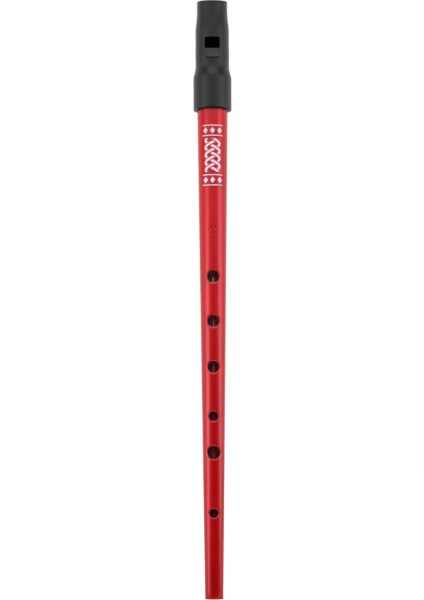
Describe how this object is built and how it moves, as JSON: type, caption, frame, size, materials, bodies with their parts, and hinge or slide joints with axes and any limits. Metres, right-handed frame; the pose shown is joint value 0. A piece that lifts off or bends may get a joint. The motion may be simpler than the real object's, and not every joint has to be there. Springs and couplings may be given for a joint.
{
  "type": "tin whistle",
  "caption": "Tin whistle in D: a red lacquered conical tinplate tube with finger holes, under a black moulded head with a window, blade and beak.",
  "frame": {"origin": "on the bore's axis, in the plane of the foot's end", "axes": "+Z along the bore from the foot to the tip of the beak, -Y towards the side with the window and the finger holes, +X to the right seen from there"},
  "size_m": [0.0188, 0.0188, 0.292],
  "materials": {
    "red_lacquer": "translucent red lacquer over tinplate, glossy",
    "black_plastic": "charcoal black moulded plastic, satin",
    "bare_tin": "bare tinplate inside the tube",
    "white_ink": "white printed ink"
  },
  "bodies": {
    "tube": {"tube": "red_lacquer"},
    "head": {"head_shell": "black_plastic", "fipple_block": "black_plastic"}
  },
  "joints": [
    {"name": "tuning_slide", "type": "slide", "parent": "tube", "child": "head", "axis": [0, 0, 1], "range_m": [0, 0.01]}
  ]
}
